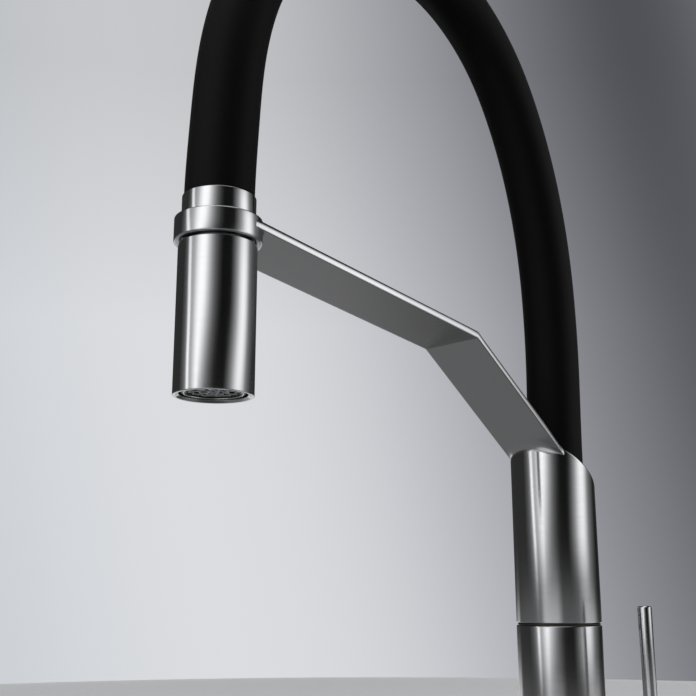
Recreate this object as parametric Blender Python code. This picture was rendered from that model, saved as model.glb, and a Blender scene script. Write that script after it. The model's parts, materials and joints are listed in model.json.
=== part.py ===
"""Pull-down kitchen faucet: a column with a flat bent arm that holds a docked spray head under a hose arch.

Standalone Blender 4.5 script. Origin: centre of the deck hole, on the deck. +Z up, spout to -Y, lever on +X.
Sizes below are in millimetres and become metres where a mesh is made.
"""
from math import atan2, ceil, cos, pi, radians, sin, sqrt, tan

import bmesh
import bpy
import numpy as np
from mathutils import Matrix, Vector

MM = 0.001

# ---- driving sizes, mm ----
CLEAR = 0.3             # gap between fitted pieces
DECK_THICK = 30.0       # countertop that the clamp grips
GASKET_H = 1.5
FLANGE_LIP = 4.5        # flange beyond the column
FLANGE_H = 4.5
SHANK_R = 16.75         # passes a 35 mm deck hole
SHANK_WALL = 2.25
SHANK_DROP = 60.0       # shank length below the deck
TUBE_DROP = 75.0        # inlet and outlet tubes below the deck
COLUMN_R = 22.5
COLUMN_WALL = 2.0
COLUMN_HEIGHT = 216.7   # front of the column, where the arm leaves it
SWIVEL_HEIGHT = 122.0   # parting line between the fixed body and the swivelling column
BUSH_WALL = 2.9         # plastic bush between the neck and the column
NECK_WALL = 2.0
VALVE_HEIGHT = 60.0     # axis of the side valve
CARTRIDGE_R = 12.5
BOSS_R = 17.0
BOSS_LENGTH = 13.5      # side boss beyond the column, up to the centre of the ball joint
DOME_R = 16.2
DOME_WALL = 1.6
HUB_LENGTH = 14.0
STEM_SIDE = 5.0
LEVER_R = 3.5
LEVER_LENGTH = 72.0     # tip of the lever above the valve axis
FLOW_TILT = 20.0        # degrees the lever tilts to open
OUTLET_HEIGHT = 215.0   # mouth of the spray head above the deck
REACH = 235.0           # column axis to spray head axis
HEAD_R = 16.5
HEAD_WALL = 1.9
HEAD_LENGTH = 63.6
RING_WALL = 2.58
RING_H = 10.4
RING_GAP = 0.7          # shadow gap between the docked head and the ring
FERRULE_WALL = 0.47
FERRULE_RISE = 9.8      # ferrule showing above the ring
HOSE_R = 14.85
HOSE_WALL = 4.7
LINER_WALL = 2.1
PULL_HOSE_R = 5.5
SOCKET_WALL = 0.9       # sleeve that holds the hose inside the column
HOSE_GRIP = 0.25        # gap between the hose and the sleeves on it
HOSE_SEAT_DEPTH = 50.0  # hose inside the column, below the front edge
ARCH_HEIGHT = 473.0     # highest point of the hose centreline
ARM_WIDTH = 35.0
ARM_THICK = 3.8
ARM_BEND_REACH = 84.8
ARM_BEND_RISE = 45.8    # underside of the bend above the column's front edge
MAGNET_H = 5.4
AERATOR_R = 12.9
PULL_HOSE_X = -7.2      # pull hose beside the valve and through the shank
INLET_X, INLET_Y = 4.5, 8.8
OUTLET_X = 9.5
TUBE_R = 4.0
TUBE_WALL = 1.2

# Share of the span and of the rise for points on the two legs of the hose arch.
COLUMN_LEG = [(0.0, 0.0), (-0.003, 0.11), (-0.005, 0.2), (-0.003, 0.29), (0.004, 0.386), (0.04, 0.57),
              (0.112, 0.746), (0.188, 0.856), (0.284, 0.936), (0.393, 0.984), (0.519, 1.0)]
HEAD_LEG = [(0.644, 0.981), (0.761, 0.918), (0.858, 0.815), (0.925, 0.678), (0.967, 0.52),
            (0.985, 0.384), (0.993, 0.253), (0.998, 0.138), (1.0, 0.053)]

# ---- sizes that follow ----
BORE_R = COLUMN_R - COLUMN_WALL
FLANGE_R = COLUMN_R + FLANGE_LIP
NECK_R = BORE_R - 2 * CLEAR - BUSH_WALL
BOSS_REACH = COLUMN_R + BOSS_LENGTH
HOSE_SETBACK = BORE_R - HOSE_R - HOSE_GRIP - SOCKET_WALL - 2 * CLEAR   # hose behind the column axis
FERRULE_R = HOSE_R + HOSE_GRIP + FERRULE_WALL
BODY_BOTTOM = GASKET_H + FLANGE_H + CLEAR
BODY_FLOOR = BODY_BOTTOM + 7.7
RING_BOTTOM = OUTLET_HEIGHT + HEAD_LENGTH + RING_GAP
RING_TOP = RING_BOTTOM + RING_H
FERRULE_TOP = RING_TOP + FERRULE_RISE
RING_BORE_R = FERRULE_R + CLEAR
RING_R = RING_BORE_R + RING_WALL
MAGNET_BOTTOM = RING_BOTTOM + 1.3
MAGNET_TOP = MAGNET_BOTTOM + MAGNET_H
CORE_BOTTOM = MAGNET_TOP + CLEAR
CORE_TOP = CORE_BOTTOM + 4.7
HOSE_END = CORE_TOP + CLEAR
HOSE_START = COLUMN_HEIGHT - HOSE_SEAT_DEPTH
TAIL_TOP = FERRULE_TOP + 0.5
CONNECTOR_TOP = MAGNET_TOP - 2.0
CONNECTOR_BOTTOM = CONNECTOR_TOP - 14.0
CONNECTOR_R = PULL_HOSE_R + 1.1
ARM_TILT = atan2(ARM_BEND_RISE, ARM_BEND_REACH - COLUMN_R)


def material(name, colour, roughness, metallic):
    """One Principled material for one piece."""
    made = bpy.data.materials.new(name)
    made.use_nodes = True
    shader = made.node_tree.nodes["Principled BSDF"]
    shader.inputs["Base Color"].default_value = (*colour, 1.0)
    shader.inputs["Roughness"].default_value = roughness
    shader.inputs["Metallic"].default_value = metallic
    return made


FINISH = {
    "nickel": ((0.56, 0.55, 0.53), 0.28, 1.0),
    "steel": ((0.6, 0.6, 0.6), 0.35, 1.0),
    "brass": ((0.75, 0.56, 0.28), 0.35, 1.0),
    "black_rubber": ((0.012, 0.012, 0.013), 0.65, 0.0),
    "seal_rubber": ((0.03, 0.03, 0.03), 0.7, 0.0),
    "white_plastic": ((0.8, 0.8, 0.78), 0.45, 0.0),
    "grey_plastic": ((0.28, 0.29, 0.3), 0.5, 0.0),
    "magnet": ((0.16, 0.16, 0.17), 0.4, 1.0),
    "braid": ((0.42, 0.43, 0.44), 0.5, 0.3),
}


def piece(name, bm, finish, at=(0, 0, 0), turn=(0, 0, 0), pivot=None):
    """Put a mesh in the scene as one named piece, hung from its joint's empty if it moves."""
    bmesh.ops.recalc_face_normals(bm, faces=bm.faces)
    mesh = bpy.data.meshes.new(name)
    bm.to_mesh(mesh)
    bm.free()
    mesh.shade_smooth()
    mesh.set_sharp_from_angle(angle=radians(35))
    obj = bpy.data.objects.new(name, mesh)
    obj.location = Vector(at) * MM
    obj.rotation_euler = turn
    bpy.context.collection.objects.link(obj)
    if finish is None:
        obj.hide_render = True
        obj.display_type = "WIRE"
    else:
        mesh.materials.append(material(name, *FINISH[finish]))
    if pivot is not None:
        obj.parent = pivot
        obj.matrix_parent_inverse = Matrix.Translation(pivot.location).inverted()
    return obj


ALONG_X = (0, pi / 2, 0)
ALONG_Y = (-pi / 2, 0, 0)


def turned(name, profile, finish, steps=24, **place):
    """Spin a closed outline of (radius, height) points round the local Z axis."""
    bm = bmesh.new()
    verts = [bm.verts.new((r * MM, 0, h * MM)) for r, h in profile]
    edges = []
    for a, b in zip(range(len(verts)), list(range(1, len(verts))) + [0]):
        if profile[a][0] > 0 or profile[b][0] > 0:
            edges.append(bm.edges.new((verts[a], verts[b])))
    bmesh.ops.spin(bm, geom=verts + edges, cent=(0, 0, 0), axis=(0, 0, 1), angle=2 * pi, steps=steps,
                   use_merge=True)
    bmesh.ops.remove_doubles(bm, verts=bm.verts, dist=1e-7)
    return piece(name, bm, finish, **place)


def ring(name, inner, outer, low, high, finish, **options):
    """A plain tube or washer."""
    return turned(name, [(inner, high), (outer, high), (outer, low), (inner, low)], finish, **options)


def rod(name, radius, low, high, finish, steps=24, **place):
    """A solid cylinder between two heights."""
    return turned(name, [(0, high), (radius, high), (radius, low), (0, low)], finish, steps=steps, **place)


def block(name, low, high, finish, **place):
    """A box between two corners."""
    bm = bmesh.new()
    bmesh.ops.create_cube(bm, size=1.0)
    middle = (Vector(low) + Vector(high)) * 0.5 * MM
    size = (Vector(high) - Vector(low)) * MM
    bmesh.ops.transform(bm, verts=bm.verts, matrix=Matrix.Translation(middle) @ Matrix.Diagonal((*size, 1)))
    return piece(name, bm, finish, **place)


def side_plate(name, outline, half_width, finish, **place):
    """An outline in the YZ plane, given a width along X."""
    bm = bmesh.new()
    face = bm.faces.new([bm.verts.new((-half_width * MM, y * MM, z * MM)) for y, z in outline])
    made = bmesh.ops.extrude_face_region(bm, geom=[face])
    moved = [v for v in made["geom"] if isinstance(v, bmesh.types.BMVert)]
    bmesh.ops.translate(bm, verts=moved, vec=(2 * half_width * MM, 0, 0))
    return piece(name, bm, finish, **place)


def combine(target, tool, operation):
    """Leave an exact Boolean on a piece."""
    step = target.modifiers.new(tool.name, "BOOLEAN")
    step.operation = operation
    step.object = tool


def spline(points, step):
    """Evenly spaced points on the natural cubic spline through a route, in (y, z)."""
    route = np.array(points, float)
    gaps = np.hypot(*np.diff(route, axis=0).T)
    at = np.concatenate([[0], np.cumsum(gaps)])
    count = len(route)
    system = np.eye(count)
    bends = np.zeros((count, 2))
    for i in range(1, count - 1):
        system[i, i - 1:i + 2] = gaps[i - 1], 2 * (gaps[i - 1] + gaps[i]), gaps[i]
        bends[i] = 6 * ((route[i + 1] - route[i]) / gaps[i] - (route[i] - route[i - 1]) / gaps[i - 1])
    bends = np.linalg.solve(system, bends)
    out = []
    for s in np.linspace(0, at[-1], ceil(at[-1] / step) + 1):
        i = min(int(np.searchsorted(at, s, side="right")) - 1, count - 2)
        a, b, h = at[i + 1] - s, s - at[i], gaps[i]
        out.append((a ** 3 * bends[i] + b ** 3 * bends[i + 1]) / (6 * h)
                   + (route[i] / h - bends[i] * h / 6) * a + (route[i + 1] / h - bends[i + 1] * h / 6) * b)
    return out


def swept(name, path, radius, bore, finish, sides, **place):
    """A round hose, hollow if it has a bore, along points (x, y, z) in one plane, with level ends."""
    route = [Vector(p) for p in path]
    flat = (route[-1] - route[0]).cross(route[len(route) // 2] - route[0])
    across = flat.normalized() if flat.length > 1e-6 else Vector((1, 0, 0))
    bm = bmesh.new()
    rings = {}
    for size in [radius] + ([bore] if bore else []):
        rings[size] = []
        for i, centre in enumerate(route):
            ahead = route[min(i + 1, len(route) - 1)] - route[max(i - 1, 0)]
            if i in (0, len(route) - 1):
                ahead = Vector((0, 0, ahead.z))
            ahead.normalize()
            out = across.cross(ahead)
            rings[size].append([bm.verts.new((centre + size * (cos(t) * across + sin(t) * out)) * MM)
                                for t in (2 * pi * k / sides for k in range(sides))])
    for size, loops in rings.items():
        for a, b in zip(loops, loops[1:]):
            for k in range(sides):
                bm.faces.new((a[k], a[k - 1], b[k - 1], b[k]))
    for end in (0, -1):
        if bore:
            a, b = rings[radius][end], rings[bore][end]
            for k in range(sides):
                bm.faces.new((a[k], a[k - 1], b[k - 1], b[k]))
        else:
            bm.faces.new(rings[radius][end])
    return piece(name, bm, finish, **place)


def empty(name, at):
    """The empty that stands on a joint's axis."""
    made = bpy.data.objects.new(name, None)
    made.location = Vector(at) * MM
    bpy.context.collection.objects.link(made)
    return made


def build_deck_fixing():
    """Gasket and flange on the deck; threaded shank, gasket, washer, nut and two screws that clamp it."""
    hole = SHANK_R + CLEAR
    ring("base_gasket", hole, FLANGE_R - 1, 0, GASKET_H, "seal_rubber")
    turned("base_flange", [(hole, GASKET_H + FLANGE_H), (COLUMN_R + 2, GASKET_H + FLANGE_H),
                           (FLANGE_R, GASKET_H + FLANGE_H - 1.5), (FLANGE_R, GASKET_H), (hole, GASKET_H)],
           "nickel", steps=32)
    ring("threaded_shank", SHANK_R - SHANK_WALL, SHANK_R, -SHANK_DROP, BODY_FLOOR - 0.5, "brass")
    plate_r = FLANGE_R - 1
    gasket_low = -DECK_THICK - 2
    washer_low = gasket_low - CLEAR - 2.5
    nut_top = washer_low - CLEAR
    nut_low = nut_top - 10
    ring("clamp_gasket", hole, plate_r, gasket_low, -DECK_THICK, "seal_rubber")
    ring("clamp_washer", hole, plate_r, washer_low, gasket_low - CLEAR, "steel")
    nut = rod("mounting_nut", FLANGE_R, nut_low, nut_top, "brass", 12)
    combine(nut, rod("nut_bore", hole, nut_low - 1, nut_top + 1, None, 32), "DIFFERENCE")
    screw_r, head_h = 2.6, 3.0
    for side, x in (("left", -1), ("right", 1)):
        at = (x * (hole + FLANGE_R) / 2, 0, 0)
        low = nut_low - 8
        turned("clamp_screw_" + side, [(0, nut_top), (screw_r, nut_top), (screw_r, low), (4.2, low),
                                       (4.2, low - head_h), (0, low - head_h)], "steel", steps=16, at=at)
        combine(nut, rod("nut_hole_" + side, screw_r + CLEAR, nut_low - 1, nut_top + 1, None, 16, at=at),
                "DIFFERENCE")


def build_lower_body():
    """Fixed body: bored column with a side boss for the valve, and the neck that the spout turns on."""
    top = SWIVEL_HEIGHT - CLEAR
    body = rod("lower_body", COLUMN_R, BODY_BOTTOM, top, "nickel", 32)
    combine(body, rod("boss_blank", BOSS_R, 4, BOSS_REACH, None, 32, at=(0, 0, VALVE_HEIGHT), turn=ALONG_X),
            "UNION")
    combine(body, rod("body_bore", BORE_R, BODY_FLOOR, top + 5, None, 32), "DIFFERENCE")
    combine(body, rod("shank_hole", SHANK_R + CLEAR, BODY_BOTTOM - 5, BODY_FLOOR + 5, None, 32), "DIFFERENCE")
    combine(body, rod("valve_bore", CARTRIDGE_R + 0.8, 2, BOSS_REACH + 5, None, 32,
                      at=(0, 0, VALVE_HEIGHT), turn=ALONG_X), "DIFFERENCE")
    neck_in = NECK_R - NECK_WALL
    clip_low = SWIVEL_HEIGHT + 19.3
    foot_top = top
    foot_low = foot_top - 20
    groove = NECK_R - 1
    turned("swivel_neck", [(neck_in, clip_low + 5), (NECK_R, clip_low + 5), (NECK_R, clip_low + 1.8),
                           (groove, clip_low + 1.8), (groove, clip_low - 0.3), (NECK_R, clip_low - 0.3),
                           (NECK_R, foot_top), (BORE_R - CLEAR, foot_top), (BORE_R - CLEAR, foot_low),
                           (neck_in, foot_low)], "brass")
    ring("retaining_ring", groove + CLEAR, NECK_R + 2.2, clip_low, clip_low + 1.5, "steel")
    ring("swivel_washer", NECK_R + CLEAR, COLUMN_R - 0.2, SWIVEL_HEIGHT, SWIVEL_HEIGHT + 0.8, "white_plastic")


def build_valve():
    """Brass manifold with its three tubes, and the cartridge held by a nut under a ball-shaped cover."""
    flat = PULL_HOSE_X + PULL_HOSE_R + 0.5
    low, high = VALVE_HEIGHT - CARTRIDGE_R - 11.5, VALVE_HEIGHT + CARTRIDGE_R + 4.5
    pocket = 6.0
    manifold = rod("valve_manifold", BORE_R - CLEAR, low, high, "brass", 32)
    combine(manifold, block("manifold_flat", (-COLUMN_R * 2, -COLUMN_R * 2, low - 5),
                            (flat, COLUMN_R * 2, high + 5), None), "DIFFERENCE")
    combine(manifold, rod("cartridge_pocket", CARTRIDGE_R + 0.4, pocket, COLUMN_R * 2, None, 32,
                          at=(0, 0, VALVE_HEIGHT), turn=ALONG_X), "DIFFERENCE")
    socket = low + 9
    for name, x, y in (("hot_inlet_tube", INLET_X, INLET_Y), ("cold_inlet_tube", INLET_X, -INLET_Y),
                       ("outlet_tube", OUTLET_X, 0)):
        ring(name, TUBE_R - TUBE_WALL, TUBE_R, -TUBE_DROP, socket - CLEAR, "steel", steps=16, at=(x, y, 0))
        combine(manifold, rod(name + "_socket", TUBE_R + CLEAR, low - 5, socket, None, 16, at=(x, y, 0)),
                "DIFFERENCE")
    on_axis = {"at": (0, 0, VALVE_HEIGHT), "turn": ALONG_X}
    seal_end = pocket + CLEAR + 0.6
    nut_start = BOSS_REACH - 5.7
    rotor_r = CARTRIDGE_R - 4.1
    cavity = nut_start - 6.6
    ring("cartridge_seal", 3, CARTRIDGE_R - 2.5, pocket + CLEAR, seal_end, "seal_rubber", **on_axis)
    turned("cartridge_body", [(0, cavity), (rotor_r + 0.4, cavity), (rotor_r + 0.4, nut_start - CLEAR),
                              (CARTRIDGE_R, nut_start - CLEAR), (CARTRIDGE_R, seal_end + CLEAR),
                              (0, seal_end + CLEAR)], "grey_plastic", **on_axis)
    ring("cartridge_nut", rotor_r + 0.8, CARTRIDGE_R + 0.5, nut_start, BOSS_REACH - CLEAR, "brass", **on_axis)
    return cavity, rotor_r


def arc(radius, centre, first, last, steps):
    """Points (radius, height) on a circle round a point of the axis, from angle first to last."""
    angles = [first + (last - first) * i / steps for i in range(steps + 1)]
    return [(radius * sin(t), centre + radius * cos(t)) for t in angles]


def build_handle(cavity, rotor_r):
    """Rotor turns for temperature; stem, hub and lever tilt on its pin for flow."""
    pivot_x = BOSS_REACH
    on_axis = {"at": (0, 0, VALVE_HEIGHT), "turn": ALONG_X}
    half = STEM_SIDE / 2
    tilt = radians(FLOW_TILT)
    mouth_r = DOME_R * sin(tilt) + half + 0.2
    turned("dome_cover", arc(DOME_R, pivot_x, asin_of(mouth_r, DOME_R), pi / 2 - 0.02, 5)
           + arc(DOME_R - DOME_WALL, pivot_x, pi / 2 - 0.02, asin_of(mouth_r, DOME_R - DOME_WALL), 5),
           "nickel", **on_axis)

    turning = empty("temperature_axis", (0, 0, VALVE_HEIGHT))
    rotor_front = pivot_x + 4
    rotor = rod("cartridge_rotor", rotor_r, cavity + CLEAR, rotor_front, "white_plastic", 24, pivot=turning,
                **on_axis)
    stem_back = pivot_x - 6
    slot_back = stem_back - 0.6
    pin_r = 1.2
    slot_half = 6 * sin(tilt) + half + 0.6
    slot = block("stem_slot", (slot_back, -half - 0.4, VALVE_HEIGHT - slot_half),
                 (rotor_front + 5, half + 0.4, VALVE_HEIGHT + slot_half), None)
    combine(rotor, slot, "DIFFERENCE")
    across = {"at": (pivot_x, 0, VALVE_HEIGHT), "turn": ALONG_Y}
    combine(rotor, rod("pin_bore", pin_r + 0.25, -rotor_r - 5, rotor_r + 5, None, 16, **across), "DIFFERENCE")
    rod("stem_pin", pin_r, -rotor_r + 0.8, rotor_r - 0.8, "steel", 16, pivot=turning, **across)

    tilting = empty("flow_axis", (pivot_x, 0, VALVE_HEIGHT))
    cavity_r = DOME_R + 0.4
    hub_back = pivot_x + BOSS_R * sin(tilt) + 1.2
    hub_front = hub_back + HUB_LENGTH
    stem_front = hub_front - 1.8
    stem = block("cartridge_stem", (stem_back, -half, VALVE_HEIGHT - half),
                 (stem_front, half, VALVE_HEIGHT + half), "steel", pivot=tilting)
    combine(stem, rod("stem_bore", pin_r + 0.25, -5, 5, None, 16, **across), "DIFFERENCE")
    mouth = asin_of(sqrt(cavity_r ** 2 - (hub_back - pivot_x) ** 2), cavity_r)
    hub = turned("handle_hub", [(0, hub_front), (BOSS_R - 1.2, hub_front), (BOSS_R, hub_front - 1.2),
                                (BOSS_R, hub_back)] + arc(cavity_r, pivot_x, mouth, 0, 6), "nickel",
                 pivot=tilting, **on_axis)
    hole = half + CLEAR
    combine(hub, block("stem_socket", (pivot_x + cavity_r - 3, -hole, VALVE_HEIGHT - hole),
                       (stem_front + CLEAR, hole, VALVE_HEIGHT + hole), None), "DIFFERENCE")
    lever_x = hub_front - LEVER_R - 2
    seat = sqrt((cavity_r + 0.7) ** 2 - (lever_x - LEVER_R - pivot_x) ** 2)
    seat_z = VALVE_HEIGHT + seat
    lever_at = {"at": (lever_x, 0, 0)}
    combine(hub, rod("lever_socket", LEVER_R + CLEAR, seat_z - CLEAR, VALVE_HEIGHT + BOSS_R + 5, None, 20,
                     **lever_at), "DIFFERENCE")
    tip = VALVE_HEIGHT + LEVER_LENGTH
    turned("handle_lever", [(0, tip), (LEVER_R - 0.8, tip), (LEVER_R, tip - 0.8), (LEVER_R, seat_z),
                            (0, seat_z)], "nickel", steps=20, pivot=tilting, **lever_at)
    screw_r = 1.5
    screw_x = hub_front - 1.2 - screw_r
    screw_at = {"at": (screw_x, 0, VALVE_HEIGHT)}
    plug_h = 0.8
    combine(hub, rod("screw_hole", screw_r + CLEAR, -BOSS_R - 5, -half, None, 12, **screw_at), "DIFFERENCE")
    plug_low = 0.3 - BOSS_R
    screw_low = plug_low + plug_h + CLEAR
    rod("handle_set_screw", screw_r, screw_low, -half - CLEAR, "steel", 12, pivot=tilting, **screw_at)
    rod("handle_plug", screw_r, plug_low, plug_low + plug_h, "grey_plastic", 12, pivot=tilting, **screw_at)


def asin_of(radius, sphere):
    """Angle from the pole at which a sphere has this radius."""
    return atan2(radius, sqrt(sphere ** 2 - radius ** 2))


def arm_edge(offset):
    """Corners of the arm's side view at a distance above its underside: behind the column, bend, ring."""
    low = (-ARM_BEND_REACH, COLUMN_HEIGHT + ARM_BEND_RISE)
    end_y = -REACH + RING_BORE_R + 1
    end_z = RING_BOTTOM + (RING_H - ARM_THICK) / 2
    rise = atan2(end_z - low[1], low[0] - end_y)
    back_y = COLUMN_R * 1.5
    back_z = low[1] - tan(ARM_TILT) * (back_y - low[0])
    half = (ARM_TILT + rise) / 2
    spread = offset / cos((ARM_TILT - rise) / 2)
    bend = (low[0] + spread * sin(half), low[1] + spread * cos(half))
    return [(back_y + offset * sin(ARM_TILT), back_z + offset * cos(ARM_TILT)), bend,
            (end_y + offset * sin(rise), end_z + offset * cos(rise))]


def hose_route(start, end):
    """Centreline of the hose arch in (y, z), from a height in the column to a height in the dock."""
    span = -REACH - HOSE_SETBACK
    route = [(HOSE_SETBACK, start), (HOSE_SETBACK, (start + COLUMN_HEIGHT) / 2)]
    for foot, leg in ((COLUMN_HEIGHT, COLUMN_LEG), (RING_TOP, HEAD_LEG)):
        route += [(HOSE_SETBACK + u * span, foot + v * (ARCH_HEIGHT - foot)) for u, v in leg]
    return route + [(-REACH, end)]


def build_spout():
    """Swivelling column with the slanted end plate and arm in one bar, the dock ring, and the hose arch."""
    turning = empty("swivel_axis", (0, 0, SWIVEL_HEIGHT))
    column_low = SWIVEL_HEIGHT + 0.8 + CLEAR
    column = ring("column_tube", BORE_R, COLUMN_R, column_low, COLUMN_HEIGHT + 2 * COLUMN_R, "nickel",
                  steps=32, pivot=turning)
    seat = arm_edge(-CLEAR)
    (back_y, back_z), (bend_y, bend_z), _ = seat
    combine(column, side_plate("slant_cut", [(back_y, back_z), (bend_y, bend_z), (bend_y, bend_z + 200),
                                             (back_y, bend_z + 200)], 2 * COLUMN_R, None), "DIFFERENCE")

    arm = side_plate("support_arm", arm_edge(0) + arm_edge(ARM_THICK)[::-1], ARM_WIDTH / 2 + 6, "nickel",
                     pivot=turning)
    low, high = COLUMN_HEIGHT - 3 * COLUMN_R, RING_TOP + 50
    plan = rod("arm_plan", COLUMN_R, low, high, None, 32)
    combine(plan, block("arm_strip", (-ARM_WIDTH / 2, -REACH, low), (ARM_WIDTH / 2, 0, high), None), "UNION")
    combine(arm, plan, "INTERSECT")
    combine(arm, rod("hose_hole", HOSE_R + 0.45, low - 5, high + 5, None, 32, at=(0, HOSE_SETBACK, 0)),
            "DIFFERENCE")
    dock = (0, -REACH, 0)
    combine(arm, rod("ring_seat", RING_R + CLEAR, low - 5, high + 5, None, 32, at=dock), "DIFFERENCE")

    at_dock = {"at": dock, "pivot": turning}
    edge = 0.8
    turned("dock_ring", [(RING_BORE_R, RING_TOP), (RING_R - edge, RING_TOP), (RING_R, RING_TOP - edge),
                         (RING_R, RING_BOTTOM + edge), (RING_R - edge, RING_BOTTOM),
                         (RING_BORE_R, RING_BOTTOM)], "nickel", steps=32, **at_dock)
    ring("dock_magnet", CONNECTOR_R + 2, FERRULE_R, MAGNET_BOTTOM, MAGNET_TOP, "magnet", **at_dock)
    ferrule_in = HOSE_R + HOSE_GRIP
    ring("dock_core", CONNECTOR_R + 0.8, ferrule_in - CLEAR, CORE_BOTTOM, CORE_TOP, "grey_plastic", **at_dock)
    ring("hose_ferrule", ferrule_in, FERRULE_R, CORE_BOTTOM, FERRULE_TOP, "nickel", steps=32, **at_dock)

    sleeve_r = HOSE_R + HOSE_GRIP
    carrier_top = HOSE_START - CLEAR
    carrier = rod("hose_carrier", BORE_R - CLEAR, carrier_top - 6, carrier_top, "brass", 32, pivot=turning)
    combine(carrier, rod("carrier_hole", PULL_HOSE_R + 1.5, carrier_top - 11, carrier_top + 5, None, 16,
                         at=(0, HOSE_SETBACK, 0)), "DIFFERENCE")
    back_edge = COLUMN_HEIGHT - tan(ARM_TILT) * (2 * COLUMN_R)
    socket_top = back_edge - 1
    ring("hose_socket", sleeve_r, sleeve_r + SOCKET_WALL, HOSE_START, socket_top, "steel", steps=32,
         at=(0, HOSE_SETBACK, 0), pivot=turning)
    outer = [(0, y, z) for y, z in spline(hose_route(HOSE_START, HOSE_END), 17)]
    bore = HOSE_R - HOSE_WALL
    sides = 14
    liner_r = bore * cos(pi / sides) - 0.05
    swept("spout_hose", outer, HOSE_R, bore, "black_rubber", sides, pivot=turning)
    swept("hose_liner", outer, liner_r, liner_r - LINER_WALL, "white_plastic", 10, pivot=turning)
    middle = SWIVEL_HEIGHT - 4
    up = [(0, 0, middle + CLEAR), (0, 0, middle + 12), (0, HOSE_SETBACK, HOSE_START - 12)]
    rise = [(0, y, z) for y, z in spline([p[1:] for p in up] + hose_route(HOSE_START - 4, TAIL_TOP), 17)]
    swept("pull_hose_upper", rise, PULL_HOSE_R, None, "braid", 8, pivot=turning)

    bush = {"inner": NECK_R + CLEAR, "outer": BORE_R - CLEAR, "finish": "white_plastic", "pivot": turning}
    ring("swivel_bush_lower", low=column_low + 1, high=column_low + 7, **bush)
    ring("swivel_bush_upper", low=SWIVEL_HEIGHT + 12, high=SWIVEL_HEIGHT + 19, **bush)


def build_pull_hose_lower():
    """Fixed run of the pull hose: up through the shank, past the valve, onto the swivel axis."""
    middle = SWIVEL_HEIGHT - 4
    valve_top = VALVE_HEIGHT + CARTRIDGE_R + 5
    route = [(PULL_HOSE_X, -TUBE_DROP), (PULL_HOSE_X, 0), (PULL_HOSE_X, valve_top),
             (PULL_HOSE_X, valve_top + 6), (0, middle - 6), (0, middle)]
    swept("pull_hose_lower", [(x, 0, z) for x, z in spline(route, 11)], PULL_HOSE_R, None, "braid", 8)


def build_hose_end():
    """The end of the pull hose that comes down with the head: hose tail, swivel connector and its seal."""
    sliding = empty("pull_axis", (0, -REACH, OUTLET_HEIGHT))
    place = {"at": (0, -REACH, 0), "pivot": sliding}
    rod("pull_hose_tail", PULL_HOSE_R, CONNECTOR_TOP + CLEAR, TAIL_TOP - CLEAR, "braid", 16, **place)
    groove = CONNECTOR_R - 1.2
    low = CONNECTOR_BOTTOM + 4
    turned("hose_connector", [(0, CONNECTOR_TOP), (CONNECTOR_R, CONNECTOR_TOP), (CONNECTOR_R, low + 2.2),
                              (groove, low + 2.2), (groove, low), (CONNECTOR_R, low),
                              (CONNECTOR_R, CONNECTOR_BOTTOM), (0, CONNECTOR_BOTTOM)],
           "steel", **place)
    ring("connector_seal", groove + 0.2, CONNECTOR_R, low + CLEAR, low + 1.9, "seal_rubber", **place)


def build_spray_head():
    """Tubular head: steel shell, neck, strike plate for the magnet, waterway, check valve and aerator."""
    spinning = empty("head_axis", (0, -REACH, OUTLET_HEIGHT))
    place = {"at": (0, -REACH, 0), "pivot": spinning}
    top = OUTLET_HEIGHT + HEAD_LENGTH
    inner = HEAD_R - HEAD_WALL
    roof = top - 3
    neck_r = CONNECTOR_R + 1.7
    lip, edge = 2.0, 1.0
    mouth_r = AERATOR_R + 1.1
    base = OUTLET_HEIGHT
    turned("head_shell", [(neck_r + CLEAR, top), (HEAD_R - 0.6, top), (HEAD_R, top - 0.6),
                          (HEAD_R, base + edge), (HEAD_R - edge, base), (mouth_r, base),
                          (mouth_r, base + lip), (inner, base + lip + 1), (inner, roof),
                          (neck_r + CLEAR, roof)], "nickel", steps=32, **place)
    ring("strike_plate", neck_r + CLEAR, RING_BORE_R - 4 * CLEAR, top + CLEAR, MAGNET_BOTTOM - CLEAR, "steel",
         **place)
    neck_low = CONNECTOR_BOTTOM - 5
    floor = CONNECTOR_BOTTOM - CLEAR
    turned("head_neck", [(CONNECTOR_R + CLEAR, top), (neck_r, top), (neck_r, neck_low), (3, neck_low),
                         (3, floor), (CONNECTOR_R + CLEAR, floor)], "brass", **place)
    seal_top = base + 16
    tube_top = neck_low - CLEAR
    tube_r = inner - CLEAR
    valve_r = 5.0
    valve_low, valve_high = seal_top + 8, seal_top + 20
    turned("water_tube", [(3, tube_top), (neck_r, tube_top), (neck_r, valve_high + 3),
                          (tube_r, valve_high - 1), (tube_r, seal_top + CLEAR),
                          (valve_r + CLEAR, seal_top + CLEAR), (valve_r + CLEAR, valve_high),
                          (3, valve_high)], "white_plastic", **place)
    turned("check_valve", [(0, valve_high - CLEAR), (valve_r, valve_high - CLEAR), (valve_r, valve_low),
                           (0, valve_low)], "grey_plastic", steps=16, **place)
    housing_top = seal_top - 1.8
    screen_r = AERATOR_R - 1.9
    ring("aerator_seal", 6, tube_r, housing_top + CLEAR, seal_top, "seal_rubber", **place)
    turned("aerator_housing", [(screen_r, housing_top), (inner - CLEAR, housing_top),
                               (inner - CLEAR, base + lip + 2.5), (AERATOR_R, base + lip + 1),
                               (AERATOR_R, base + 1.2), (screen_r, base + 1.2)], "grey_plastic", **place)
    insert_r = screen_r - CLEAR
    insert_top = housing_top - 2
    turned("aerator_insert", [(0, insert_top), (insert_r, insert_top), (insert_r, base + 3), (8, base + 3),
                              (7.2, base + 4), (4, base + 4), (3.2, base + 3), (0, base + 3)],
           "grey_plastic", **place)


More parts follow.
